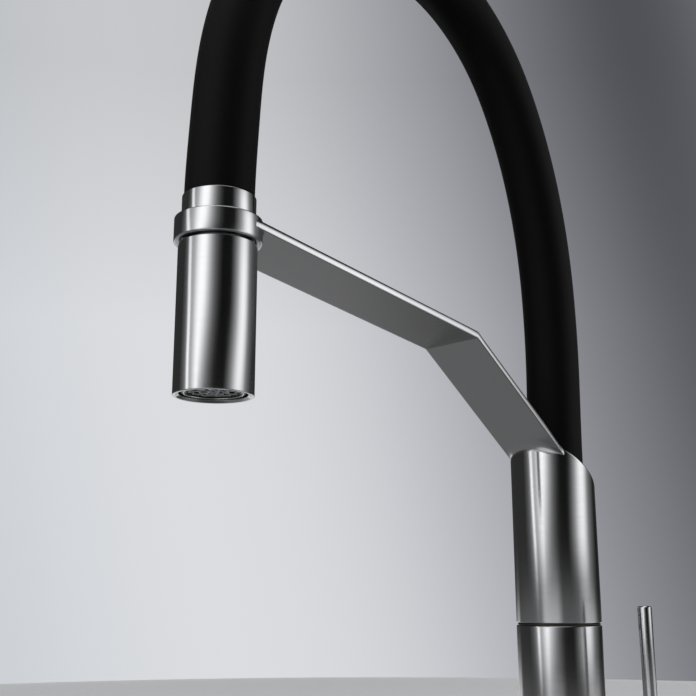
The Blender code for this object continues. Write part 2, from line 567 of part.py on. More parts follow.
for leftover in list(bpy.data.objects):
    bpy.data.objects.remove(leftover, do_unlink=True)
build_deck_fixing()
build_lower_body()
build_handle(*build_valve())
build_spout()
build_pull_hose_lower()
build_hose_end()
build_spray_head()
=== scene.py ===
"""Looks of a pull-down kitchen faucet in satin nickel and black hose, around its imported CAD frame.

Metres, +Z up. The deck is at z = 0, the spout reaches to -Y, and the lever is on +X.
"""
import json
import math

import bmesh
import bpy
import numpy as np
from mathutils import Matrix, Vector


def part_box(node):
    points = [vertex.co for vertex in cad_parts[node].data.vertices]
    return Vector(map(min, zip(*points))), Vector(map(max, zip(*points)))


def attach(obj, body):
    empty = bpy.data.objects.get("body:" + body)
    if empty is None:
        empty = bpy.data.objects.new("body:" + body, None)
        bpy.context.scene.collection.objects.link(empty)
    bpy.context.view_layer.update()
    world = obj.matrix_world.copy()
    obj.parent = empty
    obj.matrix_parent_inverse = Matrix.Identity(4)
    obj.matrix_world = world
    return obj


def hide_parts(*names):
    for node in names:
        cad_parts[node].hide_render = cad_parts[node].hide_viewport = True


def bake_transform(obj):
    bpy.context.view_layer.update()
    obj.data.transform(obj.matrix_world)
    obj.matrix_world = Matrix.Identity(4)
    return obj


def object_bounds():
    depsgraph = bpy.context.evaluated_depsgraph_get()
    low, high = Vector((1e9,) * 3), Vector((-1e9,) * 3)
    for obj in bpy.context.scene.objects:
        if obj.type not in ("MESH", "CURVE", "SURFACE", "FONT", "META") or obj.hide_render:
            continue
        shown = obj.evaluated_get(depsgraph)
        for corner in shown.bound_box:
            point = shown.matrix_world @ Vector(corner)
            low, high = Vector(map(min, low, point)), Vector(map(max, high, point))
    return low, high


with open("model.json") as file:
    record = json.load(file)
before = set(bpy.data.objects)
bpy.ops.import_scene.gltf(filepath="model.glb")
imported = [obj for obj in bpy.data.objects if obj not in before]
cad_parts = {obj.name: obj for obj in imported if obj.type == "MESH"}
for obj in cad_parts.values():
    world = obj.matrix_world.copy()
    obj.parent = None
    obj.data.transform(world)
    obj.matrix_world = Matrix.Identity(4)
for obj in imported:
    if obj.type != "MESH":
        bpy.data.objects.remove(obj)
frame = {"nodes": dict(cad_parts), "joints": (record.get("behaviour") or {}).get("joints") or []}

cad_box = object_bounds()

# ---------------------------------------------------------------- camera and studio
# A 53 mm lens near counter height looks up at the spray head from its front right. The faucet stands in a
# dark tent whose walls carry softboxes. The camera sees a pale wall and a pale floor instead of the tent.
MM = 0.001


def linear(hex_colour):
    """Linear colour of an sRGB hex value, with alpha 1."""
    parts = [int(hex_colour[i:i + 2], 16) / 255 for i in (0, 2, 4)]
    return (*[c / 12.92 if c <= 0.04045 else ((c + 0.055) / 1.055) ** 2.4 for c in parts], 1.0)


def add(tree, kind, inputs=None, **settings):
    """A node with its settings; an input that is another node's socket becomes a link."""
    made = tree.nodes.new(kind)
    for name, value in settings.items():
        setattr(made, name, value)
    for name, value in (inputs or {}).items():
        if isinstance(value, bpy.types.NodeSocket):
            tree.links.new(value, made.inputs[name])
        else:
            made.inputs[name].default_value = value
    return made


def link_in(obj):
    bpy.context.scene.collection.objects.link(obj)
    return obj


bpy.context.scene.view_settings.view_transform = "Standard"
camera = link_in(bpy.data.objects.new("camera", bpy.data.cameras.new("camera")))
camera.data.lens = 53.27
camera.data.clip_start = 0.01
camera.location = (0.3277, -0.4822, 0.1374)
camera.rotation_euler = (math.radians(90 + 13.49), 0, math.radians(45.4))
bpy.context.scene.camera = camera

backdrop = bpy.data.worlds.new("pale_wall")
bpy.context.scene.world = backdrop
backdrop.use_nodes = True
tree = backdrop.node_tree
tree.nodes.clear()
direction = add(tree, "ShaderNodeSeparateXYZ", {0: add(tree, "ShaderNodeTexCoord").outputs["Generated"]})
bearing = add(tree, "ShaderNodeMath", {0: direction.outputs["Y"], 1: direction.outputs["X"]},
              operation="ARCTAN2")
leaning = add(tree, "ShaderNodeMath", {0: direction.outputs["Z"], 1: -0.23, 2: bearing.outputs[0]},
              operation="MULTIPLY_ADD")
share = add(tree, "ShaderNodeMapRange", {"Value": leaning.outputs[0], "From Min": math.radians(92),
                                         "From Max": math.radians(172)})
across = add(tree, "ShaderNodeValToRGB", {"Fac": share.outputs[0]})
stops = ((0.0, "cdd0d5"), (0.05, "cdd0d5"), (0.13, "9a9ca1"), (0.2, "66686d"), (0.255, "4f5156"),
         (0.305, "707277"), (0.355, "8a8c92"), (0.405, "a5a7ac"), (0.46, "bcbec3"), (0.515, "d0d2d6"),
         (0.57, "d8dadd"), (0.64, "dddee1"), (0.72, "d5d8dc"), (0.8, "c9cdd2"), (0.92, "cdd0d5"),
         (1.0, "cdd0d5"))
across.color_ramp.interpolation = "B_SPLINE"
for place, colour in stops[1:-1]:
    across.color_ramp.elements.new(place).color = linear(colour)
across.color_ramp.elements[0].color = linear(stops[0][1])
across.color_ramp.elements[-1].color = linear(stops[-1][1])
height = add(tree, "ShaderNodeMapRange", {"Value": direction.outputs["Z"], "From Min": 0.25, "From Max": 0.47,
                                          "To Min": 1.0, "To Max": 0.8})
glow = add(tree, "ShaderNodeBackground", {"Color": across.outputs["Color"], "Strength": height.outputs[0]})
add(tree, "ShaderNodeOutputWorld", {"Surface": glow.outputs[0]})


def step(low, high, x):
    """0 below low, 1 above high, smooth between them."""
    t = np.clip((x - low) / (high - low), 0, 1)
    return t * t * (3 - 2 * t)


def tent_light(bearing, rise):
    """Brightness of the tent in a direction, both in degrees; a bearing of -50 is behind the camera.

    The large key softbox is on the left of the camera, with a narrow strip light beyond it. A second softbox
    is on the right. The rest is black cloth, a lit roof and a dim floor level.
    """
    lean = 16 * (1 - np.clip((rise - 3) / 13, 0, 1))
    key_spot = bearing + lean * step(-96, -80, bearing)
    key = np.interp(key_spot, (-142, -128, -113, -103, -94, -85, -74, -66, -57, -48, -38, -28),
                    (0.0, 0.14, 0.45, 0.7, 1.35, 1.72, 1.62, 1.0, 0.48, 0.18, 0.05, 0.0))
    side = np.interp(bearing + lean, (-2, 8, 19, 30, 39, 49, 57, 66, 80, 100),
                     (0.0, 0.16, 0.5, 1.2, 1.55, 1.4, 0.85, 0.3, 0.13, 0.0))
    edge_light = -110.3 - 0.59 * rise + 3.5 * step(8, 14, rise)
    wide = 2 + 1.2 * step(8, 14, rise)
    strip = step(edge_light - wide - 2.5, edge_light - wide, bearing) \
        * (1 - step(edge_light + wide, edge_light + wide + 2.5, bearing))
    dark = 0.008 + 0.03 * (step(80, 110, bearing) + 1 - step(-150, -125, bearing))
    upper = dark + step(-4, 2, rise) * (key * (1 - step(48, 60, rise)) + side * (1 - step(27, 44, rise))
                                        + (1.5 - 0.4 * step(8, 14, rise)) * strip * (1 - step(40, 60, rise)))
    back = step(158, 164, bearing) * (1 - step(174, 180, bearing))
    shade = 0.07 + 0.12 * step(133, 147, bearing) + 0.12 * (1 - step(60, 100, bearing))
    low = shade + 0.55 * step(-105, -90, bearing) * (1 - step(-60, -40, bearing)) \
        + 0.6 * step(0, 30, bearing) * (1 - step(50, 75, bearing)) + 0.2 * back
    below = 0.18 + (low - 0.18) * step(-48, -30, rise) - 0.13 * (1 - step(-70, -60, rise))
    horizon = 0.7 * step(95, 110, bearing) * (1 - step(168, 178, bearing)) * step(-20, -15, rise)
    return below + horizon + (upper - below - horizon) * step(-9, -2, rise) + 2.2 * step(62, 78, rise)


TENT = 2.4
tent_mesh = bmesh.new()
columns, rows = 240, 60
bright = {}
loops = []
for j in range(1, rows):
    rise = -90 + 180 * j / rows
    loop = []
    for i in range(columns):
        bearing = -180 + 360 * i / columns
        a, e = math.radians(bearing), math.radians(rise)
        vert = tent_mesh.verts.new((TENT * math.cos(e) * math.cos(a), TENT * math.cos(e) * math.sin(a),
                                    0.2 + TENT * math.sin(e)))
        loop.append(vert)
        bright[vert] = float(tent_light(bearing, rise))
    loops.append(loop)
for a, b in zip(loops, loops[1:]):
    for k in range(columns):
        tent_mesh.faces.new((a[k - 1], b[k - 1], b[k], a[k]))
tent_mesh.faces.new(loops[0])
tent_mesh.faces.new(loops[-1])
values = [bright[v] for v in tent_mesh.verts]
mesh = bpy.data.meshes.new("studio_tent")
tent_mesh.to_mesh(mesh)
tent_mesh.free()
mesh.attributes.new("glow", "FLOAT", "POINT").data.foreach_set("value", values)
tent = link_in(bpy.data.objects.new("studio_tent", mesh))
tent.visible_camera = False
# White nylon cloth over lamps: an even glow, as bright as the tent is at each point.
softbox = bpy.data.materials.new("softbox_fabric")
softbox.use_nodes = True
tree = softbox.node_tree
tree.nodes.clear()
light = add(tree, "ShaderNodeEmission", {"Strength": add(tree, "ShaderNodeAttribute",
                                                         attribute_name="glow").outputs["Fac"]})
add(tree, "ShaderNodeOutputMaterial", {"Surface": light.outputs[0]})
mesh.materials.append(softbox)

floor_mesh = bmesh.new()
bmesh.ops.create_circle(floor_mesh, cap_ends=True, radius=2.3, segments=96,
                        matrix=Matrix.Translation((0, 0, cad_box[0][2] - 0.0004)))
mesh = bpy.data.meshes.new("studio_floor")
floor_mesh.to_mesh(mesh)
floor_mesh.free()
floor = link_in(bpy.data.objects.new("studio_floor", mesh))
floor.visible_glossy = False
# Board with matt paint, lit a little from within so that it stays pale under the dark tent.
painted = bpy.data.materials.new("matt_painted_board")
painted.use_nodes = True
shader = painted.node_tree.nodes["Principled BSDF"]
shader.inputs["Base Color"].default_value = linear("f0f1f3")
shader.inputs["Roughness"].default_value = 0.9
shader.inputs["Specular IOR Level"].default_value = 0.1
shader.inputs["Emission Color"].default_value = linear("f0f1f3")
shader.inputs["Emission Strength"].default_value = 0.3
mesh.materials.append(painted)

# ---------------------------------------------------------------- deck gasket and flange
# Black gasket of nitrile rubber under a flange turned from brass and plated in satin nickel. The flange
# covers the hole in the deck and leaves a fine groove round the column.


def softened(outline, radius, arcs=5):
    """Closed outline of (r, z) points with rounded corners; a third value in a point is its own radius."""
    out = []
    count = len(outline)
    for i, point in enumerate(outline):
        here = Vector(point[:2])
        size = point[2] if len(point) > 2 else radius
        if not size:
            out.append((here.x, here.y))
            continue
        before, after = Vector(outline[i - 1][:2]), Vector(outline[(i + 1) % count][:2])
        a, b = (before - here), (after - here)
        half = a.angle(b) / 2
        if half > math.radians(88):
            out.append((here.x, here.y))
            continue
        reach = min(size / math.tan(half), a.length * 0.49, b.length * 0.49)
        size = reach * math.tan(half)
        a.normalize()
        b.normalize()
        centre = here + (a + b).normalized() * size / math.sin(half)
        first, last = here + a * reach - centre, here + b * reach - centre
        turn = first.angle_signed(last)
        for k in range(arcs + 1):
            arm = first.copy()
            arm.rotate(Matrix.Rotation(-turn * k / arcs, 2))
            out.append(tuple(centre + arm))
    return out


def shown(name, bm, material, body, cad, sharp=32, at=(0, 0, 0), turn=(0, 0, 0)):
    """A finished mesh piece that rides with a body and stands for CAD nodes."""
    bmesh.ops.remove_doubles(bm, verts=bm.verts, dist=1e-7)
    bmesh.ops.recalc_face_normals(bm, faces=bm.faces)
    made = bpy.data.meshes.new(name)
    bm.to_mesh(made)
    bm.free()
    made.shade_smooth()
    made.set_sharp_from_angle(angle=math.radians(sharp))
    made.materials.append(material)
    obj = link_in(bpy.data.objects.new(name, made))
    obj.location = at
    obj.rotation_euler = turn
    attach(obj, body)
    if cad:
        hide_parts(*cad)
    return obj


def lathe(outline, turns=128, shape=None):
    """Mesh of an outline of (r, z) turned round Z. shape(angle) gives another outline of equal length."""
    bm = bmesh.new()
    rings = []
    for k in range(turns):
        t = 2 * math.pi * k / turns
        rings.append([bm.verts.new((r * math.cos(t), r * math.sin(t), z))
                      for r, z in (shape(t) if shape else outline)])
    for a, b in zip(rings, rings[1:] + rings[:1]):
        for i in range(len(a)):
            bm.faces.new((a[i - 1], b[i - 1], b[i], a[i]))
    return bm


def new_finish(name):
    """An empty material with its node tree and its Principled shader."""
    made = bpy.data.materials.new(name)
    made.use_nodes = True
    return made, made.node_tree, made.node_tree.nodes["Principled BSDF"]


def turned_metal(name, colour, roughness, pitch, depth):
    """Metal finished on a lathe: fine rings run round the piece, so light spreads along its axis."""
    made, tree, shader = new_finish(name)
    place = add(tree, "ShaderNodeTexCoord").outputs["Object"]
    part = add(tree, "ShaderNodeSeparateXYZ", {0: place})
    flat = add(tree, "ShaderNodeCombineXYZ", {"X": part.outputs["X"], "Y": part.outputs["Y"]})
    radius = add(tree, "ShaderNodeVectorMath", {0: flat.outputs[0]}, operation="LENGTH")
    run = add(tree, "ShaderNodeMath", {0: radius.outputs["Value"], 1: part.outputs["Z"]}, operation="ADD")
    line = add(tree, "ShaderNodeMath", {0: run.outputs[0], 1: 1 / pitch}, operation="MULTIPLY")
    slow = add(tree, "ShaderNodeVectorMath", {0: flat.outputs[0], "Scale": 60.0}, operation="SCALE")
    cut = add(tree, "ShaderNodeSeparateXYZ", {0: slow.outputs[0]})
    where = add(tree, "ShaderNodeCombineXYZ",
                {"X": cut.outputs["X"], "Y": cut.outputs["Y"], "Z": line.outputs[0]})
    grain = add(tree, "ShaderNodeTexNoise", {"Vector": where.outputs[0], "Scale": 1.0, "Detail": 3.0,
                                             "Roughness": 0.6})
    patch = add(tree, "ShaderNodeTexNoise", {"Vector": place, "Scale": 45.0, "Detail": 3.0})
    rough = add(tree, "ShaderNodeMapRange", {"Value": grain.outputs["Fac"], "From Min": 0.3, "From Max": 0.7,
                                             "To Min": roughness - 0.03, "To Max": roughness + 0.03})
    smudge = add(tree, "ShaderNodeMapRange", {"Value": patch.outputs["Fac"], "From Min": 0.35,
                                              "From Max": 0.75, "To Min": -0.01, "To Max": 0.015})
    total = add(tree, "ShaderNodeMath", {0: rough.outputs[0], 1: smudge.outputs[0]}, operation="ADD")
    tree.links.new(total.outputs[0], shader.inputs["Roughness"])
    tone = add(tree, "ShaderNodeMix", {"Factor": grain.outputs["Fac"], "A": linear(colour),
                                       "B": tuple(c * 0.93 for c in linear(colour)[:3]) + (1,)},
               data_type="RGBA")
    tree.links.new(tone.outputs["Result"], shader.inputs["Base Color"])
    bump = add(tree, "ShaderNodeBump", {"Height": grain.outputs["Fac"], "Strength": 0.25, "Distance": depth})
    tree.links.new(bump.outputs[0], shader.inputs["Normal"])
    tree.links.new(add(tree, "ShaderNodeTangent", direction_type="RADIAL", axis="Z").outputs[0],
                   shader.inputs["Tangent"])
    shader.inputs["Metallic"].default_value = 1.0
    shader.inputs["Anisotropic"].default_value = 0.6
    shader.inputs["Anisotropic Rotation"].default_value = 0.25
    return made


def moulded(name, colour, roughness, grit, depth, specular=0.5):
    """Rubber or plastic from a mould or a die: an even colour with fine grit."""
    made, tree, shader = new_finish(name)
    place = add(tree, "ShaderNodeTexCoord").outputs["Object"]
    fine = add(tree, "ShaderNodeTexNoise",
               {"Vector": place, "Scale": 1 / grit, "Detail": 4.0, "Roughness": 0.65})
    broad = add(tree, "ShaderNodeTexNoise", {"Vector": place, "Scale": 70.0, "Detail": 2.0})
    tone = add(tree, "ShaderNodeMix", {"Factor": broad.outputs["Fac"], "A": linear(colour),
                                       "B": tuple(c * 0.8 for c in linear(colour)[:3]) + (1,)},
               data_type="RGBA")
    tree.links.new(tone.outputs["Result"], shader.inputs["Base Color"])
    rough = add(tree, "ShaderNodeMapRange", {"Value": fine.outputs["Fac"], "From Min": 0.3, "From Max": 0.7,
                                             "To Min": roughness - 0.05, "To Max": roughness + 0.05})
    tree.links.new(rough.outputs[0], shader.inputs["Roughness"])
    bump = add(tree, "ShaderNodeBump", {"Height": fine.outputs["Fac"], "Strength": 0.4, "Distance": depth})
    tree.links.new(bump.outputs[0], shader.inputs["Normal"])
    shader.inputs["Specular IOR Level"].default_value = specular
    shader.inputs["IOR"].default_value = 1.5
    return made


def half_width(node):
    """Radius of a round CAD node that stands along Z."""
    low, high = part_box(node)
    return (high.x - low.x) / 2


# Satin nickel plate over turned brass: rings finer than 0.1 mm, drawn at 0.25 mm so that they show.
satin_nickel = turned_metal("satin_nickel_turned", "cccdcf", 0.17, 0.25 * MM, 0.006 * MM)
# Nitrile rubber with a dull moulded skin.
gasket_rubber = moulded("nitrile_rubber_moulded", "1d1d1e", 0.62, 0.3 * MM, 0.02 * MM)

bore = half_width("threaded_shank") + 0.3 * MM
low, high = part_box("base_gasket")
shown("deck_gasket", lathe(softened([(bore, low.z), (high.x, low.z), (high.x, high.z), (bore, high.z)],
                                    0.4 * MM)),
      gasket_rubber, "base", ["base_gasket"])
low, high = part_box("base_flange")
column = half_width("column_tube")
shown("deck_flange", lathe(softened([(bore, low.z), (high.x, low.z, 0.3 * MM),
                                     (high.x, high.z - 2.2 * MM, 1.2 * MM),
                                     (high.x - 2.4 * MM, high.z, 1.0 * MM),
                                     (column + 0.3 * MM, high.z, 0.3 * MM),
                                     (column - 0.4 * MM, high.z - 0.7 * MM, 0), (bore, high.z - 0.7 * MM)],
                                    0.3 * MM)), satin_nickel, "base", ["base_flange"])

# ---------------------------------------------------------------- lower body
# Fixed half of the column, turned from brass and plated. The valve boss is brazed to its side with a
# smooth fillet, and a thin turned dome covers the valve.
low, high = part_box("lower_body")
inner = column - 2.0 * MM
bottom_top = low.z + 7.7 * MM
shown("lower_body_tube", lathe(softened([(bore, low.z), (column, low.z, 0.4 * MM), (column, high.z, 0.5 * MM),
                                         (inner, high.z), (inner, bottom_top), (bore, bottom_top)],
                                        0.2 * MM)),
      satin_nickel, "base", ["lower_body"])
boss_r = 17.0 * MM
braze = 2.2 * MM
valve_z = next(j for j in frame["joints"] if j["name"] == "handle_temperature")["pos_m"][2]
dome_low, dome_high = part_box("dome_cover")
pivot_x = high.x
pocket_r = 13.3 * MM


def boss_shape(angle):
    """Boss outline at one angle: it starts inside the tube wall and ends in a rounded rim round the dome."""
    root = math.sqrt(max(column ** 2 - (boss_r * math.sin(angle)) ** 2, 0))
    fillet = []
    for k in range(7):
        t = math.pi / 2 * k / 6
        out = braze * (1 - math.sin(t))
        side = math.sqrt(max(column ** 2 - ((boss_r + out) * math.sin(angle)) ** 2, 0))
        fillet.append((boss_r + out, side - 0.05 * MM + braze * (1 - math.cos(t)) * 0.9))
    rim = softened([(boss_r, root), (boss_r, pivot_x, 0.7 * MM), (pocket_r, pivot_x, 0.3 * MM),
                    (pocket_r, root)], 0)
    return [(boss_r - 3 * MM, root - 5 * MM)] + fillet + rim[1:-1] + [(pocket_r, root - 5 * MM)]


shown("valve_boss", lathe(None, 128, boss_shape), satin_nickel, "base", [],
      at=(0, 0, valve_z), turn=(0, math.pi / 2, 0))
dome_r = (dome_high.z - dome_low.z) / 2
dome_in = dome_r - 1.6 * MM
stem_gap = math.sqrt(dome_r ** 2 - (dome_high.x - pivot_x) ** 2)
ball = [(dome_r * math.sin(t), dome_r * math.cos(t))
        for t in np.linspace(math.asin(stem_gap / dome_r), math.pi / 2, 24)]
ball += [(dome_in * math.sin(t), dome_in * math.cos(t))
         for t in np.linspace(math.pi / 2, math.asin(stem_gap / dome_in), 24)]
shown("valve_dome", lathe(ball), satin_nickel, "base", ["dome_cover"],
      at=(pivot_x, 0, valve_z), turn=(0, math.pi / 2, 0))

# ---------------------------------------------------------------- swivel joint
# Dark acetal washer that the spout turns on, seen as a fine line between the two halves of the column.
# Acetal is moulded with a smooth, faintly waxy skin that gives a soft, wide highlight.
dark_acetal = moulded("acetal_dark_moulded", "2a2a2c", 0.5, 0.4 * MM, 0.01 * MM)
low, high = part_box("swivel_washer")
neck = half_width("swivel_neck")
shown("swivel_slip_washer", lathe(softened([(neck - 3 * MM, low.z), (high.x - 0.5 * MM, low.z),
                                            (high.x - 0.5 * MM, high.z), (neck - 3 * MM, high.z)],
                                           0.15 * MM, 3)),
      dark_acetal, "base", ["swivel_washer"])

# ---------------------------------------------------------------- column and arm
# The swivelling column is a drawn tube, and the flat bar that closes its slanted top runs out as the arm.
# Bar, tube and dock ring are silver brazed and linished as one, so their edges are only softened.
bar = 3.8 * MM
half_bar = 17.5 * MM
front_z = 216.7 * MM
bend_y, bend_z = -84.8 * MM, front_z + 45.8 * MM
tilt = math.atan2(bend_z - front_z, -bend_y - column)
low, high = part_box("column_tube")
hose_back = 3.9 * MM
hose_hole = half_width("spout_hose") + 0.45 * MM
rim_round = 1.8 * MM


def top_at(y):
    """Height of the bar's upper face over a point of the column."""
    return bend_z - math.tan(tilt) * (y - bend_y) + bar / math.cos(tilt)


def column_shape(angle):
    side = math.sin(angle)
    hole = hose_back * side + math.sqrt(hose_hole ** 2 - (hose_back * math.cos(angle)) ** 2)
    under = bar / math.cos(tilt)
    return softened([(inner, low.z), (column, low.z, 0.5 * MM), (column, top_at(column * side), rim_round),
                     (hole, top_at(hole * side), 0.35 * MM), (hole, top_at(hole * side) - under, 0.1 * MM),
                     (inner, top_at(inner * side) - under, 0.1 * MM)], 0.2 * MM, 7)


shown("spout_column", lathe(None, 160, column_shape), satin_nickel, "spout",
      ["column_tube"])

ring_low, ring_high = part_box("dock_ring")
dock_y = (ring_low.y + ring_high.y) / 2
ring_r = (ring_high.x - ring_low.x) / 2
end_y = dock_y + 16.87 * MM
end_z = (ring_low.z + ring_high.z) / 2 - bar / 2
rise = math.atan2(end_z - bend_z, bend_y - end_y)
mid = (tilt + rise) / 2
spread = bar / math.cos((tilt - rise) / 2)
top_bend_y = bend_y + spread * math.sin(mid)
top_bend_z = bend_z + spread * math.cos(mid)
# The bar's lower edges are nearly sharp. Its upper edges are rubbed to an ellipse, over_round wide and
# over_depth high.
under_round, over_round, over_depth = 0.5 * MM, 0.9 * MM, 2.7 * MM
weld = 7 * MM


def under_z(y):
    return bend_z - math.tan(tilt if y > bend_y else rise) * (y - bend_y)


def over_z(y):
    return top_bend_z - math.tan(tilt if y > top_bend_y else rise) * (y - top_bend_y)


def weld_drop(out):
    """How far the concave fillet hangs below the bar, at a distance out from the column."""
    if out >= weld * (1 - math.sin(tilt)):
        return 0.0
    out = max(out, 0)
    foot = -weld * math.tan((math.pi / 2 - tilt) / 2)
    return out * math.tan(tilt) - foot - math.sqrt(weld ** 2 - (weld - out) ** 2)


def bar_points(out):
    """(x, height under or over, y) points round the bar, at a distance out from the column's wall."""
    flare = 0.2 * MM * max(0, 1 - max(out, 0) / (1.3 * MM)) ** 2
    near = 1 - step(0, 12 * MM, out)
    steep = 1 - step(-bend_y - column - 4 * MM, -bend_y - column + 2 * MM, out)
    soft = over_round + 0.6 * MM * steep + 1.0 * MM * near
    deep = over_depth + 0.3 * MM * steep + 0.5 * MM * near
    half = half_bar + flare if out >= 0 else (half_bar + flare) * (column + out) / column
    from_ring = -(column + out) - (dock_y + ring_r)
    if from_ring < 1.5 * MM:
        half -= 0.7 * MM * min(1, (1.5 * MM - from_ring) / (7 * MM)) ** 2
    slope = tilt if out < -bend_y - column else rise
    lift = 1 / math.cos(slope)
    points = []
    for x in np.linspace(-half + under_round, half - under_round, 41):
        points.append((x, 0.0, "under"))
    for t in np.linspace(0, math.pi / 2, 6)[1:]:
        points.append((half - under_round + under_round * math.sin(t), under_round * lift * (1 - math.cos(t)),
                       "under"))
    for t in np.linspace(0, math.pi / 2, 10):
        points.append((half - soft + soft * math.cos(t), deep * lift * (1 - math.sin(t)), "over"))
    for x in np.linspace(half - soft, -half + soft, 25)[1:]:
        points.append((x, 0.0, "over"))
    for t in np.linspace(0, math.pi / 2, 10)[1:]:
        points.append((-half + soft - soft * math.sin(t), deep * lift * (1 - math.cos(t)), "over"))
    for t in np.linspace(0, math.pi / 2, 6)[:-1]:
        points.append((-half + under_round - under_round * math.cos(t),
                       under_round * lift * (1 - math.sin(t)), "under"))
    return points


# Sections lie close together at the weld, from inside the tube's wall, and at the ring.
last = -end_y - column
outs = [-3 * MM, -1.5 * MM, -0.6 * MM, 0.0]
outs += list(0.06 * MM * 1.28 ** np.arange(0, 20))
outs += list(np.linspace(8 * MM, -top_bend_y - column, 16))
outs += list(np.linspace(-bend_y - column, last - 6 * MM, 20))
outs += list(np.linspace(last - 5.4 * MM, last, 12))
bar_mesh = bmesh.new()
sections = []
for out in outs:
    straight = step(6 * MM, 30 * MM, out)
    loop = []
    for x, inset, side in bar_points(out):
        curved = -math.sqrt((column + out) ** 2 - x * x)
        y = curved + (-(column + out) - curved) * straight
        hug = step(last - 12 * MM, last, out)
        if hug > 0:
            inside = dock_y + math.sqrt((ring_r - 0.5 * MM) ** 2 - x * x)
            y += (inside - end_y) * hug
        if side == "under":
            z = under_z(y) + inset
            if out < 8 * MM:
                z -= weld_drop(math.hypot(x, y) - column) * (1 - 0.9 * step(11 * MM, 17.8 * MM, abs(x)))
        else:
            z = over_z(y) - inset - 0.02 * MM
        loop.append(bar_mesh.verts.new((x, y, z)))
    sections.append(loop)
for a, b in zip(sections, sections[1:]):
    for k in range(len(a)):
        bar_mesh.faces.new((a[k - 1], b[k - 1], b[k], a[k]))
bar_mesh.faces.new(sections[0])
bar_mesh.faces.new(sections[-1])


def linished_metal(name, colour, roughness, pitch, depth):
    """Metal rubbed along its length with a fine belt: light spreads across the bar."""
    made, tree, shader = new_finish(name)
    place = add(tree, "ShaderNodeTexCoord").outputs["Object"]
    long = add(tree, "ShaderNodeMapping", {"Vector": place, "Scale": (1 / pitch, 30.0, 30.0)})
    grain = add(tree, "ShaderNodeTexNoise", {"Vector": long.outputs[0], "Scale": 1.0, "Detail": 3.0,
                                             "Roughness": 0.6})
    rough = add(tree, "ShaderNodeMapRange", {"Value": grain.outputs["Fac"], "From Min": 0.3, "From Max": 0.7,
                                             "To Min": roughness - 0.03, "To Max": roughness + 0.03})
    tree.links.new(rough.outputs[0], shader.inputs["Roughness"])
    tone = add(tree, "ShaderNodeMix", {"Factor": grain.outputs["Fac"], "A": linear(colour),
                                       "B": tuple(c * 0.93 for c in linear(colour)[:3]) + (1,)},
               data_type="RGBA")
    tree.links.new(tone.outputs["Result"], shader.inputs["Base Color"])
    bump = add(tree, "ShaderNodeBump", {"Height": grain.outputs["Fac"], "Strength": 0.25, "Distance": depth})
    tree.links.new(bump.outputs[0], shader.inputs["Normal"])
    shader.inputs["Metallic"].default_value = 1.0
    return made


# Satin nickel plate over linished brass bar: lines along the bar spread each highlight across it.
bar_nickel = linished_metal("satin_nickel_linished", "cccdcf", 0.2, 0.25 * MM, 0.006 * MM)
shown("spout_arm", bar_mesh, bar_nickel, "spout", ["support_arm"], sharp=20)

# ---------------------------------------------------------------- dock ring
# Turned ring brazed to the end of the arm. It holds the magnet and the docked spray head, and a short
# nickel ferrule on it grips the end of the rubber hose.
dock = (0, dock_y, 0)
ring_bore = 15.87 * MM
shown("dock_collar", lathe(softened([(ring_bore, ring_low.z), (ring_r, ring_low.z, 0.8 * MM),
                                     (ring_r, ring_high.z, 0.6 * MM), (ring_bore, ring_high.z, 0.3 * MM)],
                                    0.3 * MM)),
      satin_nickel, "spout", ["dock_ring"], at=dock)
low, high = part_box("hose_ferrule")
ferrule_r = (high.x - low.x) / 2
hose_r = half_width("spout_hose")
shown("hose_end_ferrule", lathe(softened([(hose_r + 0.08 * MM, low.z), (ferrule_r, low.z),
                                          (ferrule_r, high.z, 0.35 * MM),
                                          (hose_r + 0.02 * MM, high.z, 0.2 * MM)], 0.05 * MM)),
      satin_nickel, "spout", ["hose_ferrule"], at=dock)

# ---------------------------------------------------------------- hose arch
# Thick extruded EPDM sleeve that stands in the column and bends over to the dock ring. Points of its two
# legs are shares of the way across to the ring and of the way up to the top.
column_leg = [(0.0, 0.0), (-0.003, 0.11), (-0.005, 0.2), (-0.003, 0.29), (0.004, 0.386), (0.04, 0.57),
              (0.112, 0.746), (0.188, 0.856), (0.284, 0.936), (0.393, 0.984), (0.519, 1.0)]
head_leg = [(0.644, 0.981), (0.761, 0.918), (0.858, 0.815), (0.925, 0.678), (0.967, 0.52),
            (0.985, 0.384), (0.993, 0.253), (0.998, 0.138), (1.0, 0.053)]
hose_low, hose_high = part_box("spout_hose")
arch_z = hose_high.z - half_width("spout_hose") - 0.05 * MM


def smooth_route(points, spacing):
    """Even points on the natural cubic curve through (y, z) points."""
    route = np.array(points, float)
    gaps = np.hypot(*np.diff(route, axis=0).T)
    at = np.concatenate([[0], np.cumsum(gaps)])
    count = len(route)
    system, bends = np.eye(count), np.zeros((count, 2))
    for i in range(1, count - 1):
        system[i, i - 1:i + 2] = gaps[i - 1], 2 * (gaps[i - 1] + gaps[i]), gaps[i]
        bends[i] = 6 * ((route[i + 1] - route[i]) / gaps[i] - (route[i] - route[i - 1]) / gaps[i - 1])
    bends = np.linalg.solve(system, bends)
    out = []
    for s in np.linspace(0, at[-1], math.ceil(at[-1] / spacing) + 1):
        i = min(int(np.searchsorted(at, s, side="right")) - 1, count - 2)
        a, b, h = at[i + 1] - s, s - at[i], gaps[i]
        out.append(Vector((0, *((a ** 3 * bends[i] + b ** 3 * bends[i + 1]) / (6 * h)
                                + (route[i] / h - bends[i] * h / 6) * a
                                + (route[i + 1] / h - bends[i + 1] * h / 6) * b))))
    return out


